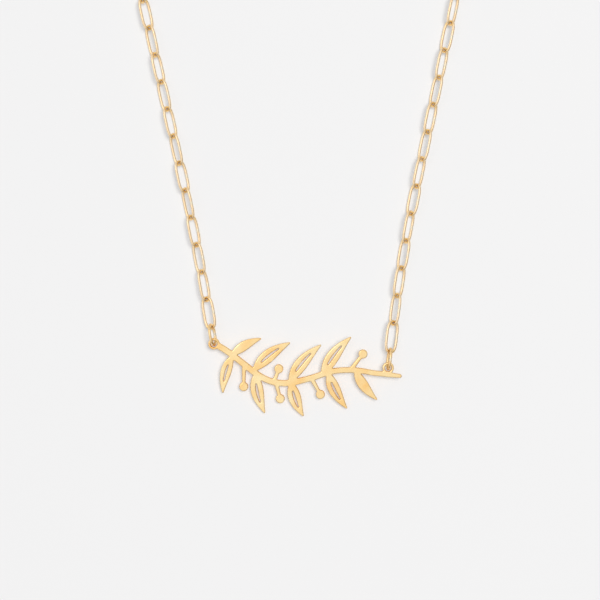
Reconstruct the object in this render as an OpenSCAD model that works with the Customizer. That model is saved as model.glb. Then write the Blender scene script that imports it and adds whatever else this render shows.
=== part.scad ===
/* [Nameplate] */
// Width of the plate from its left eyelet to the tail of its branch
plate_w = 34.8; // [32:0.2:40]
// Height of the plate from its lowest leaf tip to its highest
plate_h = 14.4; // [13:0.2:18]
// Thickness of the sheet that the plate is cut from
plate_t = 0.9; // [0.7:0.05:1.1]
// Width of the branch's stem at weight 1
stroke_w = 1.1; // [0.9:0.05:1.3]
// Width of a leaf at fullness 1
leaf_w = 2.3; // [2:0.1:2.6]
// Width of the slit that is pierced down the middle of a leaf
slit_w = 0.4; // [0.3:0.05:0.6]
// Width of a leaf's rounded tip
tip_w = 0.3; // [0.2:0.05:0.4]
// Diameter of a berry
berry_d = 1.6; // [1.2:0.1:1.8]
// Metal left round the hole of an eyelet
eyelet_wall = 0.4; // [0.3:0.05:0.6]
// Room in an eyelet beside the wire of its jump ring
eyelet_play = 0.75; // [0.6:0.05:1]

/* [Chain] */
// Radius of the bend at a link's end, along the middle of its wire
link_bend = 0.87; // [0.82:0.01:0.95]
// How much further out than that bend the middle of a link's side lies
link_swell = 0.15; // [0.12:0.01:0.18]
// Length of the straight stretch in the middle of a link's side
link_flat = 1.8; // [1.6:0.1:2.2]
// Wire diameter of a link
link_wire = 0.5; // [0.4:0.02:0.56]
// Links in the left side
links_left = 40; // [34:1:46]
// Links in the right side
links_right = 40; // [34:1:46]
// Lean of a link about its own length, to the left and to the right in turn
link_lean = 46; // [42:1:48]
// How far the lean differs from link to link
lean_swing = 5; // [3:0.5:6]
// Lean of the left side's two end links
end_lean_left = 28; // [26:1:34]
// Lean of the right side's two end links
end_lean_right = 26; // [26:1:34]

/* [Jump rings] */
// Radius of the bend at a ring's end, along the middle of its wire
ring_bend = 1.15; // [1.1:0.05:1.3]
// How much further out than that bend the middle of a ring's side lies
ring_swell = 0.08; // [0.06:0.01:0.1]
// Length of the straight stretch in the middle of a ring's side
ring_flat = 0.24; // [0.2:0.02:0.4]
// Wire diameter of a ring
ring_wire = 0.5; // [0.4:0.02:0.56]
// Lean of the left side's rings, which stand nearly on edge
ring_lean_left = 72; // [66:1:88]
// Lean of the right side's rings
ring_lean_right = 82; // [66:1:88]

/* [Clasp] */
// Outer length of the clasp's bow, without its eye
clasp_len = 9; // [8:0.5:12]
// Outer width of the bow at its nose
clasp_w = 4.6; // [4.2:0.1:6]
// Outer width of the bow at its heel
clasp_heel_w = 3.6; // [3.2:0.1:4]
// Width of the bow's bar
clasp_bar = 1; // [0.8:0.05:1.2]
// Thickness of the clasp
clasp_t = 1; // [0.8:0.05:1.2]
// Metal left round the hole of the clasp's eye
clasp_eye_wall = 0.6; // [0.5:0.05:0.8]

/* [Lie of the loop] */
// Heading of the left side where it leaves the plate, outward from straight up
leave_left = 9.5; // [5:0.5:12]
// Heading of the right side where it leaves the plate
leave_right = 6.5; // [5:0.5:12]
// How much further outward the left side turns
turn_left = 3.1; // [1:0.1:6]
// How much further outward the right side turns
turn_right = 5.2; // [1:0.1:6]
// Length of chain over which a side makes that turn
bend_len = 30; // [15:1:40]
// Gap between two wires that hang in each other
gap = 0.14; // [0.12:0.01:0.16]

/* [Hidden] */
$fn = 48;

plate_gold = [0.95, 0.79, 0.5];
chain_gold = [0.88, 0.73, 0.47];

// Lists with a value for each side hold the left side's first
OUTWARD = [-1, 1];
LINKS = [links_left, links_right];
END_LEAN = [end_lean_left, end_lean_right];
RING_LEAN = [ring_lean_left, ring_lean_right];
LEAVE = [leave_left, leave_right];
STEER = LEAVE + [turn_left, turn_right];

// The branch's stem. Columns: x and y as shares of the plate, heading in degrees, weight
STEM = [
    [0.180, 0.668, -38, 1.00],
    [0.345, 0.425, -12, 1.00],
    [0.515, 0.470, 14, 0.95],
    [0.680, 0.580, 4, 0.90],
    [0.825, 0.560, -12, 0.85],
    [0.930, 0.525, -8, 0.80],
    [0.991, 0.508, -6, 0.60]];
stem_start = [-24, 1.00]; // heading and weight where it leaves the left eyelet
stem_steps = 8;
cap_steps = 6; // corners of a stroke's half-round end

// Leaves. Columns: base x and y, tip x and y as shares of the plate, fullness, bend, slit
LEAVES = [
    [0.120, 0.770, 0.270, 0.985, 0.75, 0.06, 0],
    [0.125, 0.765, 0.075, 0.300, 0.85, -0.06, 0.8],
    [0.235, 0.575, 0.420, 0.930, 1.00, 0.06, 1],
    [0.245, 0.545, 0.290, 0.040, 1.00, -0.06, 1],
    [0.420, 0.425, 0.580, 0.900, 1.00, 0.06, 1],
    [0.430, 0.430, 0.490, 0.000, 1.00, -0.06, 1],
    [0.590, 0.510, 0.735, 1.000, 1.00, 0.06, 1],
    [0.620, 0.555, 0.715, 0.100, 0.95, -0.06, 1],
    [0.760, 0.580, 0.870, 0.210, 0.80, -0.06, 0]];
leaf_steps = 18;
slit_from = 0.26;
slit_to = 0.74;

// Berries. Columns: stalk's x and y, berry's x and y as shares of the plate
BERRIES = [
    [0.185, 0.660, 0.183, 0.370],
    [0.340, 0.430, 0.365, 0.600],
    [0.350, 0.425, 0.372, 0.215],
    [0.535, 0.475, 0.580, 0.270],
    [0.735, 0.580, 0.800, 0.790]];

function mix(a, b, t) = a + (b - a) * t;
function way(deg) = [cos(deg), sin(deg)];
function on_plate(x, y) = [x * plate_w, mix(tip_w / 2, plate_h - tip_w / 2, y)];

// Eyelets, each as its centre: one starts the stem, the other stands on the stem's sixth station
eyelet_hole = ring_wire + eyelet_play;
eyelet_d = eyelet_hole + 2 * eyelet_wall;
eyelet_up = 0.912; // height of the left eyelet as a share of the plate
perch = STEM[5];
bridge = eyelet_wall * 0.4; // metal between the right eyelet's hole and the stem
EYELET = [[eyelet_d / 2, eyelet_up * plate_h],
          on_plate(perch[0], perch[1]) + [0, stroke_w * perch[3] / 2 + bridge + eyelet_hole / 2]];

// Middle lines of the ovals, as half lengths and half widths
link_half = link_bend + 7 * link_swell + link_flat / 2;
link_r = link_bend + link_swell;
ring_half = ring_bend + 7 * ring_swell + ring_flat / 2;
ring_r = ring_bend + ring_swell;

// Wires in each other: how far each bend reaches past the point where the two meet
link_over = (link_wire + gap) / 2;
ring_over = (link_wire + ring_wire) / 2 + 1.2 * gap - link_over;
pitch = 2 * (link_half - link_over);
seat = 0.27 * eyelet_play; // how far a ring's middle line passes the middle of its hole
ring_reach = 2 * ring_half - seat - ring_over;
swing_step = 130; // degrees of the lean's swing from link to link

// Heights of the middle lines over the surface that everything lies on
z_link = link_r * sin(link_lean + lean_swing) + link_wire / 2;
Z_RING = [for (lean = RING_LEAN) ring_r * sin(lean) + ring_wire / 2];
ring_room = ring_wire + 3 * gap; // room for a ring's wire under what it holds
clasp_lean = asin(ring_room / (clasp_w / 2));
z_clasp = ring_room + clasp_t / 2 * cos(clasp_lean);

// The plate rests on its lowest leaf tip, with its eyelets held up, so it is tilted twice
low_leaf = LEAVES[5];
rest = [low_leaf[2] * plate_w, 0];
rise = ring_room;
to_left = EYELET[0] - rest;
to_right = EYELET[1] - rest;
spread = to_left[1] * to_right[0] - to_left[0] * to_right[1];
tilt_y = asin(rise * (to_right[1] - to_left[1]) / spread);
tilt_x = asin(rise * (to_right[0] - to_left[0]) / spread / cos(tilt_y));

function lifted(p) = let (q = p - rest)
    rest + [q[0] * cos(tilt_y) + q[1] * sin(tilt_x) * sin(tilt_y), q[1] * cos(tilt_x)];

// The route: each side leaves its eyelet, turns outward, runs straight, and an arc joins the two
function up(side, deg) = [OUTWARD[side] * sin(deg), cos(deg)];
rad = 180 / PI;
start = [for (s = [0, 1]) lifted(EYELET[s]) + ring_reach * up(s, LEAVE[s])];
bend_r = [for (s = [0, 1]) bend_len * rad / (STEER[s] - LEAVE[s])];
bend_end = [for (s = [0, 1]) start[s] + bend_r[s] * [
    OUTWARD[s] * (cos(LEAVE[s]) - cos(STEER[s])), sin(STEER[s]) - sin(LEAVE[s])]];

// The clasp's bow starts at the edge of its eye, and the end ring sits as far off the nose's bar
bow_start = eyelet_hole / 2;
clasp_span = clasp_len - clasp_bar;
clasp_set = 2 * ring_reach + clasp_span;
route_len = (links_left + links_right) * pitch + clasp_set;

both = STEER[0] + STEER[1];
wide = bend_end[1] - bend_end[0];
cos_sum = cos(STEER[0]) + cos(STEER[1]);
sin_gap = sin(STEER[1]) - sin(STEER[0]);
top_r = (route_len - 2 * bend_len + (cos_sum * wide[0] - sin_gap * wide[1]) / sin(both))
    / (2 * (1 + cos(both)) / sin(both) + PI + both / rad);
span_x = top_r * cos_sum - wide[0];
span_y = top_r * sin_gap + wide[1];
straight = [(cos(STEER[1]) * span_x + sin(STEER[1]) * span_y) / sin(both),
            (cos(STEER[0]) * span_x - sin(STEER[0]) * span_y) / sin(both)];
top_mid = bend_end[0] + straight[0] * up(0, STEER[0])
    + top_r * [cos(STEER[0]), sin(STEER[0])];

// A point of the route at a length along a side from its first link
function route(s, t) =
    t < bend_len ? let (deg = LEAVE[s] + t / bend_r[s] * rad)
        start[s] + bend_r[s] * [OUTWARD[s] * (cos(LEAVE[s]) - cos(deg)), sin(deg) - sin(LEAVE[s])]
    : t < bend_len + straight[s] ? bend_end[s] + (t - bend_len) * up(s, STEER[s])
    : let (deg = (t - bend_len - straight[s]) / top_r * rad - STEER[s])
        top_mid + top_r * [OUTWARD[s] * cos(deg), sin(deg)];

// Both ends of a side are held up by their ring, and the next joint is still part of the way up
END_RISE = [1, 0.4];
function lift(p, z) = [p[0], p[1], z];
function joint(s, i) = let (k = min(i, LINKS[s] - i))
    lift(route(s, i * pitch), mix(z_link, Z_RING[s], k < len(END_RISE) ? END_RISE[k] : 0));

// Links lean one way and the other in turn, and the right side mirrors the left
function from_end(s, i) = min(i, LINKS[s] - 1 - i);
function lean_size(s, k) = k == 0 ? END_LEAN[s] : link_lean + lean_swing * cos(swing_step * (k - 1));
function lean(s, i) = (i % 2 == 0 ? 1 : -1) * OUTWARD[s] * lean_size(s, from_end(s, i));
function last_sign(s) = (LINKS[s] % 2 == 0 ? -1 : 1) * OUTWARD[s];

// The clasp's two seats: its eye beside the left side and its nose beside the right
eye = route(0, links_left * pitch + ring_reach);
nose = route(1, links_right * pitch + ring_reach);

// The origin is at the middle of the whole part on the surface
middle = [top_mid[0], (nose[1] + clasp_w / 2) / 2];

module centred() {
    translate([-middle[0], -middle[1], 0]) children();
}

// Lays a piece that is made along X with its ends at two points, and rolls it about its length
module between(a, b, roll) {
    d = b - a;
    translate((a + b) / 2)
        rotate([0, -atan2(d[2], norm([d[0], d[1]])), atan2(d[1], d[0])])
            rotate([roll, 0, 0]) children();
}

// An oval of round wire. Its sides are straight in the middle and curve in a little to the tight arcs
// at the ends. The two kinds of arc meet on the slope of a 7-24-25 triangle, which keeps each centre a
// round number, so they join exactly. The oval is drawn as four equal quarters
module wire_oval(bend, swell, flat, wire) {
    slope = atan2(7, 24);
    side_r = bend + 25 * swell;
    for (flip = [[0, 0], [0, 1], [1, 0], [1, 1]]) mirror([flip[0], 0, 0]) mirror([0, flip[1], 0]) {
        translate([flat / 2 + 7 * swell, 0, 0])
            rotate_extrude(angle = 90 - slope) translate([bend, 0]) circle(d = wire);
        translate([flat / 2, 0, 0]) intersection() {
            translate([0, -24 * swell, 0]) rotate(90 - slope)
                rotate_extrude(angle = 1.2 * slope) translate([side_r, 0]) circle(d = wire);
            translate([0, 0, -wire]) cube([side_r, side_r, 2 * wire]);
        }
        translate([0, bend + swell, 0]) rotate([0, 90, 0]) cylinder(h = flat / 2, d = wire);
    }
}

module link() {
    wire_oval(link_bend, link_swell, link_flat, link_wire);
}

module ring() {
    wire_oval(ring_bend, ring_swell, ring_flat, ring_wire);
}

module chain(s) {
    color(chain_gold) centred()
        for (i = [0:LINKS[s] - 1]) between(joint(s, i), joint(s, i + 1), lean(s, i)) link();
}

// A ring between the hole that it hangs in and the joint with its link, leaning against that link
module hung_ring(s, hole, far, sign) {
    dir = (far - hole) / norm(far - hole);
    color(chain_gold) centred()
        between(lift(hole - seat * dir, Z_RING[s]), lift(far + ring_over * dir, Z_RING[s]),
                sign * RING_LEAN[s]) ring();
}

module jump_ring(s) {
    hung_ring(s, lifted(EYELET[s]), start[s], -OUTWARD[s]);
}

module end_of_side_ring(s, hole) {
    hung_ring(s, hole, route(s, LINKS[s] * pitch), last_sign(s));
}

// A flat stroke along points with columns x, y and half width, with round ends
module ribbon(path) {
    last = len(path) - 1;
    ways = [for (i = [0:last]) let (d = path[min(i + 1, last)] - path[max(i - 1, 0)])
        atan2(d[1], d[0])];
    // Each row is a point's number and the angle, from straight ahead, at which the edge passes it
    rim = concat([for (i = [0:last - 1]) [i, 90]],
                 [for (k = [0:cap_steps]) [last, 90 - 180 * k / cap_steps]],
                 [for (i = [last - 1:-1:1]) [i, -90]],
                 [for (k = [0:cap_steps - 1]) [0, -90 - 180 * k / cap_steps]]);
    polygon([for (r = rim) let (p = path[r[0]]) [p[0], p[1]] + p[2] * way(ways[r[0]] + r[1])]);
}

// A curve from p to q that sets off and arrives at the given headings
function curve(p, from, q, to, t) = let (
    arm = 0.36 * norm(q - p),
    c = p + arm * way(from),
    d = q - arm * way(to))
    mix(mix(mix(p, c, t), mix(c, d, t), t), mix(mix(c, d, t), mix(d, q, t), t), t);

module stem() {
    rows = concat([[EYELET[0], stem_start[0], stem_start[1]]],
                  [for (row = STEM) [on_plate(row[0], row[1]), row[2], row[3]]]);
    ribbon([for (i = [0:len(rows) - 2], k = [(i == 0 ? 0 : 1):stem_steps]) let (
        a = rows[i], b = rows[i + 1], t = k / stem_steps,
        p = curve(a[0], a[1], b[0], b[1], t))
        [p[0], p[1], stroke_w / 2 * mix(a[2], b[2], t)]]);
}

// A stretch of a leaf's midrib from share t0 to t1 of its length, as wide as given in the middle
module leaf_stroke(row, t0, t1, width, end_w) {
    base = on_plate(row[0], row[1]);
    along = on_plate(row[2], row[3]) - base;
    aside = [-along[1], along[0]] * row[5];
    ribbon([for (k = [0:leaf_steps]) let (
        u = k / leaf_steps, t = mix(t0, t1, u),
        p = base + along * t + aside * 4 * t * (1 - t))
        [p[0], p[1], mix(end_w, width, sin(180 * pow(u, 0.8))) / 2]]);
}

module berry(row) {
    a = on_plate(row[0], row[1]);
    b = on_plate(row[2], row[3]);
    ribbon([[a[0], a[1], stroke_w / 3], [b[0], b[1], stroke_w / 4]]);
    translate(b) circle(d = berry_d);
}

module branch() {
    difference() {
        union() {
            stem();
            for (row = LEAVES) leaf_stroke(row, 0, 1, leaf_w * row[4], tip_w);
            for (row = BERRIES) berry(row);
        }
        for (row = LEAVES) if (row[6] > 0)
            leaf_stroke(row, slit_from, slit_to, slit_w * row[6], slit_w / 2);
    }
}

module nameplate() {
    color(plate_gold) centred()
        translate([rest[0], rest[1], plate_t / 2]) rotate([tilt_x, tilt_y, 0])
            translate([-rest[0], -rest[1], -plate_t / 2]) difference() {
                union() {
                    linear_extrude(plate_t) branch();
                    for (p = EYELET) translate(p) cylinder(h = plate_t, d = eyelet_d);
                }
                for (p = EYELET) translate([p[0], p[1], -plate_t / 2])
                    cylinder(h = 2 * plate_t, d = eyelet_hole);
            }
}

// The clasp's bow: two circles and the straight sides that touch both, drawn in by a margin
module bow(margin) {
    nose_r = clasp_w / 2;
    heel_r = clasp_heel_w / 2;
    heel_x = bow_start + heel_r;
    nose_x = bow_start + clasp_len - nose_r;
    slant = asin((nose_r - heel_r) / (nose_x - heel_x));
    ends = [[heel_x, heel_r - margin], [nose_x, nose_r - margin]];
    for (e = ends) translate([e[0], 0]) circle(r = e[1]);
    polygon([for (c = [[0, -1], [1, -1], [1, 1], [0, 1]]) let (e = ends[c[0]])
        [e[0] - e[1] * sin(slant), c[1] * e[1] * cos(slant)]]);
}

module clasp() {
    color(chain_gold) centred()
        between(lift(eye, z_clasp), lift(nose, z_clasp), last_sign(0) * clasp_lean)
            translate([-clasp_span / 2, 0, -clasp_t / 2]) difference() {
                linear_extrude(clasp_t) difference() {
                    union() {
                        bow(0);
                        circle(d = eyelet_hole + 2 * clasp_eye_wall);
                    }
                    bow(clasp_bar);
                }
                translate([0, 0, -clasp_t / 2]) cylinder(h = 2 * clasp_t, d = eyelet_hole);
            }
}

nameplate();
jump_ring(0);  // jump_ring_left
jump_ring(1);  // jump_ring_right
chain(0);  // chain_left
chain(1);  // chain_right
end_of_side_ring(0, eye);  // clasp_ring
clasp();
end_of_side_ring(1, nose);  // end_ring
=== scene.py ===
# %% [markdown]
# # A gold nameplate necklace
#
# A nameplate necklace is a flat plate pierced from sheet, a long-link chain on each side of it, and the
# rings and the clasp that close the loop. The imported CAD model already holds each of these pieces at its
# real size and place. So this script moves nothing: it loads that model as a fixed frame, makes a softer
# and finer body for each piece exactly where the CAD has it, and adds the finish, the light and the camera.

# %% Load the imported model
import math

import bmesh
import bpy
import numpy as np
from mathutils import Matrix, Vector


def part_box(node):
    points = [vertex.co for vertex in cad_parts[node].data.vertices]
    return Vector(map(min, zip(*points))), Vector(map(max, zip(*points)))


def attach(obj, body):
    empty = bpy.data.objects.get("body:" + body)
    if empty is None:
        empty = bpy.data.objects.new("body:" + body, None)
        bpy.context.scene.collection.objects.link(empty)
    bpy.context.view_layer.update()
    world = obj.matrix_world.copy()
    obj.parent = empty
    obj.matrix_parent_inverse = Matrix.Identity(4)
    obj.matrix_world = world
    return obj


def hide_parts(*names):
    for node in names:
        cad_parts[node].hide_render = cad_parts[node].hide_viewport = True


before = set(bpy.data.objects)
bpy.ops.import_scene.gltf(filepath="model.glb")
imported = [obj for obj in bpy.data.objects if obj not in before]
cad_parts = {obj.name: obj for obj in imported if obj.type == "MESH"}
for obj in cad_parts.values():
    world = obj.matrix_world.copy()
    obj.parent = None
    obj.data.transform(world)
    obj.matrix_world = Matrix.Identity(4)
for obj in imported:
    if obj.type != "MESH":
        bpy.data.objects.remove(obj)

MM = 0.001
scene = bpy.context.scene
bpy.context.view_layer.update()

# %% [markdown]
# ## Where each solid lies
#
# Every link leans its own way along the chain. Its place could be worked out again from the chain's route,
# but then two scripts would hold the same numbers. The CAD's own solids already say it: the middle of a
# solid's surface and the three directions in which that surface spreads most, less and least are the
# middle, the length, the width and the thickness of a link. The same holds for a ring, for the clasp and
# for the plate, which lies slightly tilted.

# %% Read the loose solids of a node
WELD = 0.0001 * MM


def welded(node):
    """A node's loose triangles with their shared corners joined."""
    solid = bmesh.new()
    solid.from_mesh(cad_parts[node].data)
    bmesh.ops.remove_doubles(solid, verts=solid.verts, dist=WELD)
    return solid


def loose_solids(node):
    """Each separate solid of a node, as an array of its triangles' corners."""
    solid = welded(node)
    for part in (*solid.verts, *solid.faces):
        part.tag = False
    found = []
    for start in solid.verts:
        if start.tag:
            continue
        start.tag = True
        reached, faces = [start], []
        for corner in reached:  # the list grows while the walk goes on
            for face in corner.link_faces:
                if not face.tag:
                    face.tag = True
                    faces.append(face)
                    reached += [v for v in face.verts if not v.tag]
                    for v in face.verts:
                        v.tag = True
        found.append(np.array([[v.co for v in face.verts] for face in faces]))
    solid.free()
    return found


# %% Turn a solid into a place
AHEAD = (0.2, 1, 0.1)  # a solid's long side could point either way, and is taken to point this way


def lie(triangles):
    """The matrix that carries a piece that lies flat at the origin, long along X, to a solid's place."""
    edges = triangles[:, 1:] - triangles[:, :1]
    area = np.linalg.norm(np.cross(edges[:, 0], edges[:, 1]), axis=1) / 2
    middle = area @ triangles.mean(axis=1) / area.sum()
    arms = triangles - middle
    sums = arms.sum(axis=1)
    spread = np.einsum("n,nci,ncj->ij", area, arms, arms) + np.einsum("n,ni,nj->ij", area, sums, sums)
    _, wide, long = np.linalg.eigh(spread)[1].T
    long = long * np.sign(long @ AHEAD)
    wide = wide * np.sign(np.cross(long, wide)[2])
    turn = Matrix((long, wide, np.cross(long, wide))).transposed()
    return Matrix.Translation(Vector(middle)) @ turn.to_4x4()


places = {node: [lie(solid) for solid in loose_solids(node)] for node in sorted(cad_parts)}
print("solids in each node:", {node: len(found) for node, found in places.items()})

# %% [markdown]
# ## From a bmesh to a piece of the necklace
#
# Each body below is made in a bmesh, which is Blender's editable mesh. When it is done it becomes an object
# whose own place stays at the origin. It then takes two labels. It rides on the one body that the necklace
# has, and it stands for a node of the CAD, which is hidden from then on but stays where it is for the
# physics.


# %% Make a piece that stands for a CAD node
def to_object(name, body):
    """An object of a bmesh, smooth to the light."""
    mesh = bpy.data.meshes.new(name)
    body.to_mesh(mesh)
    body.free()
    mesh.shade_smooth()
    thing = bpy.data.objects.new(name, mesh)
    scene.collection.objects.link(thing)
    return thing


def stand_for(node, thing):
    """Labels an object as the piece that stands for a CAD node."""
    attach(thing, "root")
    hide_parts(node)
    thing.data.calc_loop_triangles()
    print(thing.name, "has", len(thing.data.loop_triangles), "triangles")
    return thing


# %% [markdown]
# ## One link of the chain
#
# A trace chain is made by a machine that bends each link from round wire through the last one, and
# closes it with a touch of solder. Its sides are straight in the middle and curve in a little before the
# tight bend at each end. A curve with a bevel would only come near such arcs, but spinning a small ring of
# corners round the middle of each arc in turn makes them exactly. Two arcs join smoothly when their middles
# and the join lie on one line, and here every such line has the slope of a right triangle with sides 7, 24
# and 25, as in the CAD. The solder stands a little proud.
#
# Two things follow the wire and not the space around it, so they are written on its corners: how deep a
# corner lies in the crook of a bow, where the next link rubs and where a deeper gold is painted as shade,
# and how near it is to the solder.


# %% Bend one oval of wire
ACROSS, ALONG = 7, 24  # the two short sides of that triangle
JOIN = math.atan2(ACROSS, ALONG)  # how far the flatter arc of a side turns before the tight one takes over
SIDE_STEPS, BOW_STEPS = 3, 12  # how many steps a stretch of a side takes, and a tight arc
TINY = 0.01 * MM


def wire_oval(bend, swell, flat, wire, sides, bead=0, cut=0):
    """An oval of round wire in the XY plane, with a solder bead or a saw cut at the middle of a side.

    The tight arcs have the radius bend, the middles of the sides lie a swell further out than that, and
    flat is the length of the straight stretch there.
    """
    out = bend + swell
    near = flat / 4  # as far as this from the bead, corners stand closer together
    half, beside = flat / 2, ALONG * swell
    tip, bow = half + ACROSS * swell, math.pi - 2 * JOIN
    # Each row is the middle of an arc, or none for a straight stretch, then its turn or length, and steps
    path = [(None, near, 2), (None, half - near, 1), ((half, beside), JOIN, SIDE_STEPS),
            ((tip, 0), bow, BOW_STEPS), ((half, -beside), JOIN, SIDE_STEPS), (None, -flat, SIDE_STEPS),
            ((-half, -beside), JOIN, SIDE_STEPS), ((-tip, 0), bow, BOW_STEPS),
            ((-half, beside), JOIN, SIDE_STEPS), (None, half - near, 1), (None, near - cut, 2)]
    body = bmesh.new()
    stand = Matrix.Translation((0, -out, 0)) @ Matrix.Rotation(math.radians(90), 4, "Y")
    bmesh.ops.create_circle(body, cap_ends=False, segments=sides, radius=wire / 2, matrix=stand)
    first = last = list(body.verts) + list(body.edges)
    for middle, size, steps in path:
        turn, slide = (size, 0) if middle else (0, size / steps)
        made = bmesh.ops.spin(body, geom=last, cent=(*(middle or (0, 0)), 0), axis=(0, 0, 1),
                              dvec=(slide, 0, 0), angle=turn, steps=steps, use_merge=False,
                              use_normal_flip=False, use_duplicate=False)
        last = [part for part in made["geom_last"] if not isinstance(part, bmesh.types.BMFace)]
    if cut:
        for rim in (first, last):
            bmesh.ops.contextual_create(body, geom=[e for e in rim if isinstance(e, bmesh.types.BMEdge)])
    else:
        ends = [part for part in first + last if isinstance(part, bmesh.types.BMVert)]
        bmesh.ops.remove_doubles(body, verts=ends, dist=TINY)
    seam = [v for v in body.verts if v.co.y < 0 and abs(v.co.x) < TINY]
    bmesh.ops.scale(body, verts=seam, vec=(1, 1 + bead, 1 + bead), space=Matrix.Translation((0, out, 0)))
    bmesh.ops.recalc_face_normals(body, faces=body.faces)
    mark_wire(body, bend, tip, wire)
    return body


# %% Write the crook of each bow and the solder on the wire's corners
SOLDER_REACH = 0.7  # how far the solder has run along the wire, in wires


def mark_wire(body, bend, tip, wire):
    """Stores for each corner how far it is in the crook of a bow and how near the solder, from 0 to 1."""
    crook = body.verts.layers.float.new("crook")
    solder = body.verts.layers.float.new("solder")
    for corner in body.verts:
        x, y, _ = corner.co
        past = max(abs(x) - tip, 0)
        reach = math.hypot(past, y)
        inward = 0.5 + (bend - reach) / wire
        corner[crook] = inward * past / reach if past else 0
        corner[solder] = math.exp(-((x / (SOLDER_REACH * wire)) ** 2)) if y < 0 else 0


# %% [markdown]
# ## Forty links a side
#
# Each side of the necklace is one body made of forty loose links. The link is bent once, copied to each
# place that was read from the CAD, and given a tone of its own: links are cut from wire that was drawn and
# plated in lengths, so no two catch the light quite alike. The tones come from a seeded draw, so they are
# the same each time.

# %% Lay the links of both chains
LINK = {"bend": 0.87 * MM, "swell": 0.15 * MM, "flat": 1.8 * MM, "wire": 0.5 * MM, "sides": 14,
        "bead": 0.07}
SEED = 41
draw = np.random.default_rng(SEED)


def give_tone(corners, tone):
    """Draws one tone and stores it on all corners of a link or ring."""
    value = draw.random()
    for corner in corners:
        corner[tone] = value


def lay_links(name, at):
    """One object with a link at each place, and a tone for each link."""
    body = wire_oval(**LINK)
    tone = body.verts.layers.float.new("tone")
    first = list(body.verts) + list(body.edges) + list(body.faces)
    for place in at:
        made = bmesh.ops.duplicate(body, geom=first)["geom"]
        corners = [part for part in made if isinstance(part, bmesh.types.BMVert)]
        bmesh.ops.transform(body, verts=corners, matrix=place)
        give_tone(corners, tone)
    bmesh.ops.delete(body, geom=[part for part in first if isinstance(part, bmesh.types.BMVert)],
                     context="VERTS")
    return to_object(name, body)


chains = [stand_for(node, lay_links(f"{node}_links", places[node]))
          for node in ("chain_left", "chain_right")]

# %% [markdown]
# ## Jump rings
#
# A jump ring is an oval of wire that is left open by a saw cut, twisted open with pliers, hung in its two
# neighbours and twisted shut. The hairline of the cut stays visible, so these ovals end in two flat faces
# that nearly touch.

# %% Bend and place the four rings
RING = {"bend": 1.15 * MM, "swell": 0.08 * MM, "flat": 0.24 * MM, "wire": 0.5 * MM, "sides": 20,
        "cut": 0.04 * MM}
RING_NODES = ("jump_ring_left", "jump_ring_right", "clasp_ring", "end_ring")


def bend_ring(name, place):
    """A jump ring at its place."""
    body = wire_oval(**RING)
    give_tone(body.verts, body.verts.layers.float.new("tone"))
    bmesh.ops.transform(body, verts=body.verts, matrix=place)
    return to_object(name, body)


rings = [stand_for(node, bend_ring(f"{node}_wire", places[node][0])) for node in RING_NODES]

# %% [markdown]
# ## The plate and the clasp, with edges that polishing has rounded
#
# The plate is cut from sheet and then tumbled and buffed until no edge is sharp. A bevel would follow every
# short facet of the leaves' curves and trip over itself in the slits. Instead a copy of the CAD's solid is
# laid flat, wrapped in a fine even skin of small squares, and that skin is relaxed a few times. Relaxing
# leaves flat faces flat and takes the sharpness from edges, which is just what the buffing wheel does.
# Blender's smallest square is a tenth of its unit, so the skin is made at a thousand times the size.


# %% Wrap and relax a copy of a CAD solid
def buffed(name, node, square, passes):
    """A copy of a CAD solid with a skin of squares of a given size in mm, relaxed a number of times."""
    place = places[node][0]
    body = welded(node)
    bmesh.ops.transform(body, verts=body.verts, matrix=Matrix.Scale(1 / MM, 4) @ place.inverted())
    rough = to_object(f"{name}_rough", body)
    skin = rough.modifiers.new("skin", "REMESH")
    skin.mode = "VOXEL"
    skin.voxel_size = square
    relax = rough.modifiers.new("relax", "SMOOTH")
    relax.factor = 0.5
    relax.iterations = passes
    wrapped = bpy.data.meshes.new_from_object(rough.evaluated_get(bpy.context.evaluated_depsgraph_get()))
    bpy.data.objects.remove(rough)
    body = bmesh.new()
    body.from_mesh(wrapped)
    bpy.data.meshes.remove(wrapped)
    mark_walls(body)
    bmesh.ops.transform(body, verts=body.verts, matrix=place @ Matrix.Scale(MM, 4))
    return to_object(name, body)


def mark_walls(body):
    """Stores for each corner how steep the surface is there, from 0 on a face to 1 on a wall."""
    wall = body.verts.layers.float.new("wall")
    body.normal_update()
    for corner in body.verts:
        corner[wall] = 1 - abs(corner.normal.z)


plate = stand_for("nameplate", buffed("nameplate_buffed", "nameplate", square=0.09, passes=5))
clasp = stand_for("clasp", buffed("clasp_buffed", "clasp", square=0.08, passes=8))

# %% [markdown]
# ## Writing a finish as sums
#
# A finish is a network of nodes, and most of those nodes only do sums. With a small class that wraps an
# output and knows how to add, subtract and multiply, the sums can be written as plain Python, and each
# sign adds its own node. Everything else, such as a noise or a bump, goes through one method.


# %% A value in a node tree
MIX_LOW, MIX_HIGH, MIX_RESULT = 6, 7, 2  # a Mix node's colour sockets share their names with others


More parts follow.
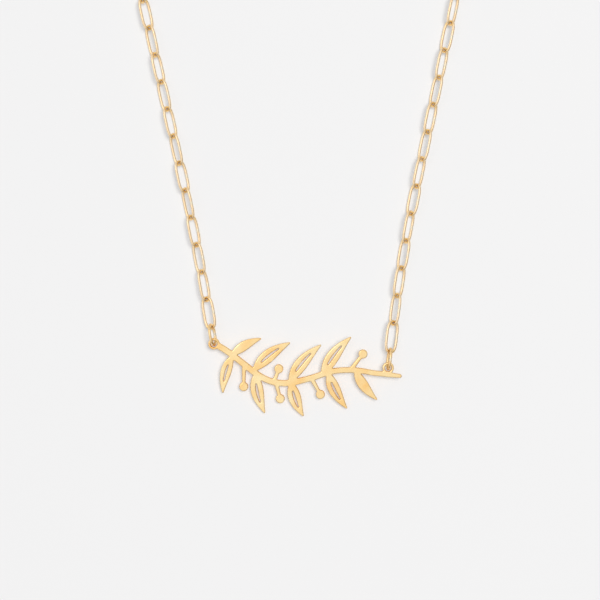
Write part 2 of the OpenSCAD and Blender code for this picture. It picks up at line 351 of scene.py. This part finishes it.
class Value:
    """An output of a node, which can be used in sums."""

    def __init__(self, tree, socket):
        self.tree, self.socket = tree, socket

    def node(self, kind, inputs, output=0, **settings):
        """Adds a node: first its settings, then the values or links of its inputs."""
        made = self.tree.nodes.new(kind)
        for name, setting in settings.items():
            setattr(made, name, setting)
        for name, given in inputs.items():
            if isinstance(given, Value):
                self.tree.links.new(given.socket, made.inputs[name])
            else:
                made.inputs[name].default_value = given
        return Value(self.tree, made.outputs[output])

    def sum(self, operation, first, second):
        """Adds a Math node."""
        return self.node("ShaderNodeMath", {0: first, 1: second}, operation=operation)

    def __add__(self, other):
        return self.sum("ADD", self, other)

    def __sub__(self, other):
        return self.sum("SUBTRACT", self, other)

    def __rsub__(self, other):
        return self.sum("SUBTRACT", other, self)

    def __mul__(self, other):
        return self.sum("MULTIPLY", self, other)

    __radd__, __rmul__ = __add__, __mul__

    def blend(self, low, high):
        """A colour between two, by this value."""
        return self.node("ShaderNodeMix", {"Factor": self, MIX_LOW: low, MIX_HIGH: high},
                         output=MIX_RESULT, data_type="RGBA")

    def noise(self, lumps, detail=2):
        """An even noise, with this as its place and so many lumps to a millimetre."""
        return self.node("ShaderNodeTexNoise", {"Vector": self, "Scale": lumps / MM, "Detail": detail})


# %% [markdown]
# ## Four finishes of one gold
#
# The necklace is plated in a pale yellow gold. The plate is buffed to a soft mirror. Seen close, such a
# mirror is never quite flat: it swells and dips by a few hundredths of a millimetre, and fine scratches
# from the tumbler cross it. The walls of the piercing are out of the wheel's reach, so they stay matter,
# and they are painted a darker, warmer gold as the shade along the edges. The wire of the chain is drawn,
# so it is smooth along its length, but in the crooks, where links rub, it is worn smoother, and a deeper
# gold there is partly wear and partly painted shade where the links cross. The solder is paler and a
# little rough. The jump rings are a shade yellower than the links, and the clasp is the chain's gold
# without solder or crooks, with its walls painted darker like the plate's.

# %% Start a gold
PALE_GOLD = (1.0, 0.84, 0.49, 1)
WARM_GOLD = (0.98, 0.58, 0.19, 1)
# painted shade: a darker, warmer gold on steep walls, for the shade along the edges
SHADED_WALL_GOLD = (1.0, 0.68, 0.31, 1)
WIRE_GOLD = (1.0, 0.83, 0.60, 1)
PINK_GOLD = (1.0, 0.73, 0.43, 1)
RING_GOLD = (1.0, 0.79, 0.45, 1)
AMBER_GOLD = (1.0, 0.67, 0.32, 1)
# in the crooks: a deeper gold that is partly wear and partly painted shade, and a dark gold that is painted
# shade
RUBBED_AND_SHADED_GOLD = (1.0, 0.70, 0.29, 1)
CROOK_SHADE_GOLD = (0.40, 0.21, 0.06, 1)
SOLDER_GOLD = (0.93, 0.82, 0.62, 1)


def start_gold(name):
    """A new material, its metal and the place of a point on the piece."""
    finish = bpy.data.materials.new(name)
    finish.use_nodes = True
    tree = finish.node_tree
    metal = tree.nodes["Principled BSDF"]
    metal.inputs["Metallic"].default_value = 1
    here = Value(tree, tree.nodes.new("ShaderNodeTexCoord").outputs["Object"])
    return finish, metal, here


def finish_gold(metal, colour, roughness, height, depth):
    """Sends a colour, a roughness and a relief of a depth in mm to the metal."""
    relief = colour.node("ShaderNodeBump", {"Height": height, "Distance": depth * MM, "Strength": 1})
    for name, value in {"Base Color": colour, "Roughness": roughness, "Normal": relief}.items():
        colour.tree.links.new(value.socket, metal.inputs[name])


def written(here, name):
    """A value that was written on the corners of a piece."""
    return here.node("ShaderNodeAttribute", {}, output="Fac", attribute_name=name)


# %% The plate's buffed gold
SWELLS, TUMBLER_SCRATCHES = 0.35, 9  # to a millimetre
BUFFED, TUMBLED, UNBUFFED = 0.13, 0.05, 0.6  # a mirror's roughness, and what scratches and a wall add
SWELL_DEPTH = 0.06  # in mm
SCRATCH_SHARE = 0.01  # how deep a scratch is beside a swell


def plate_gold():
    """The soft mirror of the plate, with its swells and scratches, its matter walls and the shade painted
    on them.
    """
    finish, metal, here = start_gold("plate_gold_buffed")
    swell = here.noise(SWELLS)
    scratch = here.noise(TUMBLER_SCRATCHES, detail=4)
    wall = written(here, "wall")
    warmth = 1.6 * swell - 0.3  # a noise keeps to its middle, so it is stretched to reach both colours
    colour = warmth.blend(PALE_GOLD, WARM_GOLD)
    # the walls are painted a darker, warmer gold as the shade along the edges
    colour = (0.9 * wall).blend(colour, SHADED_WALL_GOLD)
    roughness = BUFFED + TUMBLED * scratch + UNBUFFED * wall
    finish_gold(metal, colour, roughness, swell + SCRATCH_SHARE * scratch, SWELL_DEPTH)
    return finish


plate.data.materials.append(plate_gold())
print("the plate's finish has", len(plate.active_material.node_tree.nodes), "nodes")


# %% The chain's drawn gold
DRAW_MARKS, WEAR_MARKS = 2.5, 12  # to a millimetre
DRAWN, WORN = 0.23, 0.08  # the wire's roughness, and what wear adds
SOLDERED, RUBBED = 0.1, 0.06  # what solder or a wall adds to it, and what rubbing in a crook takes away
DRAW_DEPTH = 0.004  # in mm
WEAR_SHARE = 0.05  # how deep a wear mark is beside a draw mark


def chain_gold(name, pale=WIRE_GOLD, deep=PINK_GOLD, of_wire=True):
    """The finish of links and rings, or of the clasp, which isn't made of wire."""
    finish, metal, here = start_gold(name)
    drawn = here.noise(DRAW_MARKS)
    wear = here.noise(WEAR_MARKS, detail=3)
    colour = drawn.blend(pale, deep)
    roughness = DRAWN + WORN * wear
    if of_wire:
        tone, solder, crook = (written(here, mark) for mark in ("tone", "solder", "crook"))
        colour = (0.6 * tone).blend(colour, deep)
        colour = solder.blend(colour, SOLDER_GOLD)
        # in each crook a deeper gold, partly wear and partly painted shade where the next link crosses;
        # deepest in, painted shade alone
        colour = (2 * crook).blend(colour, RUBBED_AND_SHADED_GOLD)
        colour = (crook * crook * crook).blend(colour, CROOK_SHADE_GOLD)
        roughness = roughness + SOLDERED * solder - RUBBED * crook
    else:
        wall = written(here, "wall")
        # the clasp's walls are painted a darker, warmer gold as shade, as on the plate
        colour = (0.6 * wall).blend(colour, SHADED_WALL_GOLD)
        roughness = roughness + SOLDERED * wall
    finish_gold(metal, colour, roughness, drawn + WEAR_SHARE * wear, DRAW_DEPTH)
    return finish


link_finish = chain_gold("chain_gold_links")
for thing in chains:
    thing.data.materials.append(link_finish)
ring_finish = chain_gold("chain_gold_rings", RING_GOLD, AMBER_GOLD)
for thing in rings:
    thing.data.materials.append(ring_finish)
clasp.data.materials.append(chain_gold("chain_gold_clasp", of_wire=False))
print("finishes:", [thing.active_material.name for thing in (plate, clasp, chains[0], rings[0])])

# %% [markdown]
# ## The surface and the light
#
# Polished gold shows whatever stands around it, so most of its look comes from the studio: a white ceiling
# fills the flat faces with light, a brighter screen high on the left draws a bright line along every edge
# and wire that faces it, and the walls low on the right are dark and draw a brown line along the edges that
# turn away. They are all the world's own light. A broad soft box up on the right gives the shadows their
# side. Its own mirror image would burn out the thin wires, so it lights the scene but is kept out of
# reflections.
#
# The shade beside such thin wire is narrow and faint. Light from all round would spread it wide, so the
# surface takes only half of the tent's light, and most of what falls on it comes from the soft box. That
# surface is a matt opal sheet that glows a little itself, as a photographer's light table does, which keeps
# the shade faint.

# %% Lay the opal sheet
SHEET_RADIUS = 4
OPAL_GREY, OPAL_GLOW = 0.452, 0.317  # what it sends back of the light that falls on it, and its own light
sheet = bmesh.new()
bmesh.ops.create_circle(sheet, cap_ends=True, segments=96, radius=SHEET_RADIUS)
bmesh.ops.translate(sheet, verts=sheet.verts, vec=(0, 0, -TINY))
floor = to_object("opal_sheet", sheet)
floor_finish = bpy.data.materials.new("matt_opal")
floor_finish.use_nodes = True
opal = floor_finish.node_tree.nodes["Principled BSDF"]
opal.inputs["Base Color"].default_value = (OPAL_GREY, OPAL_GREY, OPAL_GREY, 1)
opal.inputs["Emission Color"].default_value = (1, 1, 1, 1)
opal.inputs["Emission Strength"].default_value = OPAL_GLOW
opal.inputs["Roughness"].default_value = 0.9
opal.inputs["Specular IOR Level"].default_value = 0.2
floor.data.materials.append(floor_finish)
print("the sheet is", 2 * SHEET_RADIUS, "m across")

# %% Light the tent
WALL_TOP, CEILING_EDGE = 0.45, 0.88  # heights in a tent of radius 1
TO_LEFT = (-0.8, 0.6, 0)
WALL_LIGHT, WALL_EXTRA = 0.50, 0.28  # halfway round, and how much more there is on the left
CEILING_LIGHT, CEILING_EXTRA = 1.03, 0.25
TENT_COLOUR = (0.985, 0.988, 1, 1)
room = bpy.data.worlds.new("light_tent")
scene.world = room
room.use_nodes = True
sky = room.node_tree
direction = Value(sky, sky.nodes.new("ShaderNodeTexCoord").outputs["Generated"])
height = direction.node("ShaderNodeSeparateXYZ", {"Vector": direction}, output="Z")
ceiling = direction.node("ShaderNodeMapRange",
                         {"Value": height, "From Min": WALL_TOP, "From Max": CEILING_EDGE},
                         interpolation_type="SMOOTHSTEP")
leftness = direction.node("ShaderNodeVectorMath", {0: direction, 1: TO_LEFT}, output="Value",
                          operation="DOT_PRODUCT")
low_wall = WALL_LIGHT + WALL_EXTRA * leftness
overhead = CEILING_LIGHT + CEILING_EXTRA * leftness
strength = low_wall + ceiling * (overhead - low_wall)
print("the tent's walls go over into its ceiling at", WALL_TOP, "to", CEILING_EDGE, "of its height")

# %% Hang a screen high on the left, and dim the tent for the sheet
TO_SCREEN = Vector((-0.47, 0.20, 0.86)).normalized()
SCREEN_RIM, SCREEN_FULL = 0.96, 0.992  # cosines of the angle from its middle
SCREEN_LIGHT = 1.2
DIMMED = 0.5  # the share of the tent's light that the sheet doesn't get
towards = direction.node("ShaderNodeVectorMath", {0: direction, 1: TO_SCREEN}, output="Value",
                         operation="DOT_PRODUCT")
screen = direction.node("ShaderNodeMapRange",
                        {"Value": towards, "From Min": SCREEN_RIM, "From Max": SCREEN_FULL},
                        interpolation_type="SMOOTHSTEP")
# Only a matt surface sends out diffuse rays. The sheet is one, and gold, as a metal, isn't
on_sheet = direction.node("ShaderNodeLightPath", {}, output="Is Diffuse Ray")
tent = (strength + SCREEN_LIGHT * screen) * (1 - DIMMED * on_sheet)
background = sky.nodes["Background"]
sky.links.new(tent.socket, background.inputs["Strength"])
background.inputs["Color"].default_value = TENT_COLOUR
print("the tent has", len(sky.nodes), "nodes")

# %% Hang the soft box
box_light = bpy.data.lights.new("soft_box", "AREA")
box_light.shape = "DISK"
box_light.size = 1.3
box_light.energy = 58
box_light.color = (1, 0.993, 0.99)
soft_box = bpy.data.objects.new("soft_box", box_light)
soft_box.location = Vector((0.58, 0.22, 2.38))
soft_box.rotation_euler = (-soft_box.location).to_track_quat("-Z", "Y").to_euler()
soft_box.visible_camera = False
soft_box.visible_glossy = False
scene.collection.objects.link(soft_box)
print("the soft box hangs", round(soft_box.location.length, 2), "m away")

# %% [markdown]
# ## The camera
#
# The picture is taken from straight above, with a long lens so that nothing leans outwards. The plate's own
# left and lower edges set where the camera looks, so the frame follows the CAD and cuts the two sides of
# the chain at the top as the picture does.

# %% Place the camera
PIXEL = 0.1794 * MM  # how much of the necklace a pixel of the picture shows
PICTURE = 600
PLATE_LEFT, PLATE_FOOT = 208, 417  # where the plate's box stands in the picture
plate_low, plate_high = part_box("nameplate")
aim = plate_low + PIXEL * Vector((PICTURE / 2 - PLATE_LEFT, PLATE_FOOT - PICTURE / 2, 0))
lens = bpy.data.cameras.new("long_lens")
lens.lens, lens.sensor_width = 100, 36
lens.clip_start = 0.01
camera = bpy.data.objects.new("camera", lens)
far = PICTURE * PIXEL * lens.lens / lens.sensor_width
camera.location = (aim.x, aim.y, plate_high.z + far)
scene.collection.objects.link(camera)
scene.camera = camera
scene.view_settings.view_transform = "Standard"
print("camera in mm:", [round(x / MM, 1) for x in camera.location])

# %% Update the scene
bpy.context.view_layer.update()
